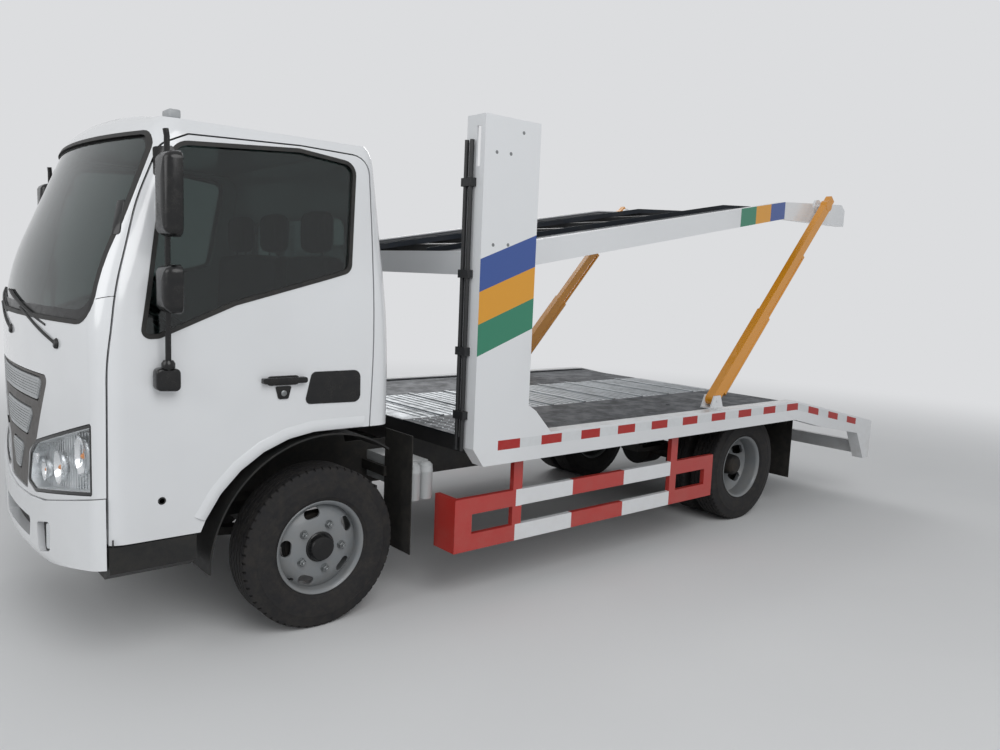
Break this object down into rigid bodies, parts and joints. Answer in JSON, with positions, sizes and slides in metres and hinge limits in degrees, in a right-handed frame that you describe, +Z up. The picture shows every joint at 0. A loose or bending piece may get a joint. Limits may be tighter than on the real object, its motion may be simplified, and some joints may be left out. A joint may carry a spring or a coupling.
{
  "type": "car carrier truck",
  "caption": "Light forward-control truck with a fixed lower car deck and a tilting upper car deck on twin posts and telescopic arms.",
  "frame": {"origin": "on the ground, midway along the overall length and midway across the width", "axes": "+X forward, +Y to the vehicle's left, +Z up"},
  "size_m": [5.995, 2.276, 2.458],
  "materials": {
    "cab_paint": "gloss white enamel",
    "deck_paint": "white two-pack paint",
    "chassis_paint": "satin black chassis paint",
    "guard_paint": "red and white gloss paint",
    "arm_paint": "amber gloss paint",
    "rim_paint": "silver-grey enamel",
    "tread_plate": "bright five-bar tread plate",
    "track_steel": "dark blue-grey chequer plate",
    "tank_metal": "satin",
    "axle_iron": "black painted casting",
    "black_plastic": "grained moulding",
    "slat_plastic": "light grey ribbed moulding",
    "lamp_lens": "clear lens over a reflector",
    "lamp_red": "red and amber lens",
    "window_glass": "lightly tinted safety glass",
    "flap_rubber": "ribbed black rubber",
    "tyre_rubber": "black, dusty",
    "seat_cloth": "grey woven cloth"
  },
  "bodies": {
    "chassis": {"frame_rails": "chassis_paint", "frame_cross_members": "chassis_paint", "front_axle": "axle_iron", "rear_axle": "axle_iron", "leaf_springs": "chassis_paint", "engine": "axle_iron", "propshaft": "chassis_paint", "fuel_tank": "tank_metal", "side_box": "tank_metal", "exhaust": "tank_metal", "mud_flaps": "flap_rubber", "lower_rails": "deck_paint", "lower_cross_members": "chassis_paint", "lower_centre_plate": "tread_plate", "lower_tracks": "track_steel", "posts": "deck_paint", "post_pipes": "chassis_paint", "side_guards": "guard_paint", "rear_bar": "deck_paint", "tail_lamps": "lamp_red", "arm_brackets": "deck_paint"},
    "cab": {"cab_shell": "cab_paint", "cab_glass": "window_glass", "grille": "black_plastic", "grille_slats": "slat_plastic", "headlamps": "lamp_lens", "bumper": "cab_paint", "cab_sills": "black_plastic", "arch_liners": "black_plastic", "cab_hinges": "chassis_paint", "dashboard": "black_plastic", "steering_wheel": "black_plastic", "seats": "seat_cloth"},
    "door_left": {"door_left": "cab_paint", "door_glass_left": "window_glass", "mirror_left": "black_plastic"},
    "door_right": {"door_right": "cab_paint", "door_glass_right": "window_glass", "mirror_right": "black_plastic"},
    "knuckle_left": {"knuckle_left": "axle_iron"},
    "knuckle_right": {"knuckle_right": "axle_iron"},
    "front_wheel_left": {"front_tyre_left": "tyre_rubber", "front_rim_left": "rim_paint"},
    "front_wheel_right": {"front_tyre_right": "tyre_rubber", "front_rim_right": "rim_paint"},
    "rear_wheels_left": {"rear_tyres_left": "tyre_rubber", "rear_rims_left": "rim_paint"},
    "rear_wheels_right": {"rear_tyres_right": "tyre_rubber", "rear_rims_right": "rim_paint"},
    "carriage": {"carriage": "deck_paint"},
    "upper_deck": {"upper_rails": "deck_paint", "upper_runways": "track_steel", "upper_cross_members": "chassis_paint"},
    "arm_sleeve_left": {"arm_sleeve_left": "arm_paint"},
    "arm_sleeve_right": {"arm_sleeve_right": "arm_paint"},
    "arm_rod_left": {"arm_rod_left": "arm_paint"},
    "arm_rod_right": {"arm_rod_right": "arm_paint"}
  },
  "joints": [
    {"name": "cab_tilt", "type": "hinge", "parent": "chassis", "child": "cab", "pos_m": [2.74, 0, 0.62], "axis": [0, 1, 0], "range_deg": [0, 45]},
    {"name": "carriage_lift", "type": "slide", "parent": "chassis", "child": "carriage", "axis": [0, 0, 1], "range_m": [-0.35, 0.45]},
    {"name": "deck_tilt", "type": "hinge", "parent": "carriage", "child": "upper_deck", "pos_m": [1, 0, 1.774], "axis": [0, -1, 0], "range_deg": [-3, 17]},
    {"name": "door_left_swing", "type": "hinge", "parent": "cab", "child": "door_left", "pos_m": [2.824, 0.935, 1.2], "axis": [0, 0, -1], "range_deg": [0, 65]},
    {"name": "steer_left", "type": "hinge", "parent": "chassis", "child": "knuckle_left", "pos_m": [1.8875, 0.69, 0.3875], "axis": [0, 0, 1], "range_deg": [-35, 35]},
    {"name": "front_wheel_left_spin", "type": "hinge", "parent": "knuckle_left", "child": "front_wheel_left", "pos_m": [1.8875, 0.79, 0.3875], "axis": [0, 1, 0], "continuous": true},
    {"name": "rear_wheels_left_spin", "type": "hinge", "parent": "chassis", "child": "rear_wheels_left", "pos_m": [-1.4725, 0.735, 0.3875], "axis": [0, 1, 0], "continuous": true},
    {"name": "arm_left_pivot", "type": "hinge", "parent": "chassis", "child": "arm_sleeve_left", "pos_m": [-0.915, 1.025, 0.938], "axis": [0, -1, 0], "range_deg": [-5.33, 29.29]},
    {"name": "arm_left_slide", "type": "slide", "parent": "arm_sleeve_left", "child": "arm_rod_left", "axis": [-0.6732, 0, 0.7395], "range_m": [-0.5223, 0.0946]},
    {"name": "door_right_swing", "type": "hinge", "parent": "cab", "child": "door_right", "pos_m": [2.824, -0.935, 1.2], "axis": [0, 0, 1], "range_deg": [0, 65]},
    {"name": "steer_right", "type": "hinge", "parent": "chassis", "child": "knuckle_right", "pos_m": [1.8875, -0.69, 0.3875], "axis": [0, 0, 1], "range_deg": [-35, 35]},
    {"name": "front_wheel_right_spin", "type": "hinge", "parent": "knuckle_right", "child": "front_wheel_right", "pos_m": [1.8875, -0.79, 0.3875], "axis": [0, 1, 0], "continuous": true},
    {"name": "rear_wheels_right_spin", "type": "hinge", "parent": "chassis", "child": "rear_wheels_right", "pos_m": [-1.4725, -0.735, 0.3875], "axis": [0, 1, 0], "continuous": true},
    {"name": "arm_right_pivot", "type": "hinge", "parent": "chassis", "child": "arm_sleeve_right", "pos_m": [-0.915, -1.025, 0.938], "axis": [0, -1, 0], "range_deg": [-5.33, 29.29]},
    {"name": "arm_right_slide", "type": "slide", "parent": "arm_sleeve_right", "child": "arm_rod_right", "axis": [-0.6732, 0, 0.7395], "range_m": [-0.5223, 0.0946]}
  ],
  "couplings": [
    {"joint": "steer_right", "follows": "steer_left", "ratio": 1},
    {"joint": "arm_left_pivot", "follows": "deck_tilt", "ratio": 1.7111},
    {"joint": "arm_left_slide", "follows": "deck_tilt", "m_per_rad": -1.7503},
    {"joint": "arm_right_pivot", "follows": "deck_tilt", "ratio": 1.7111},
    {"joint": "arm_right_slide", "follows": "deck_tilt", "m_per_rad": -1.7503}
  ]
}
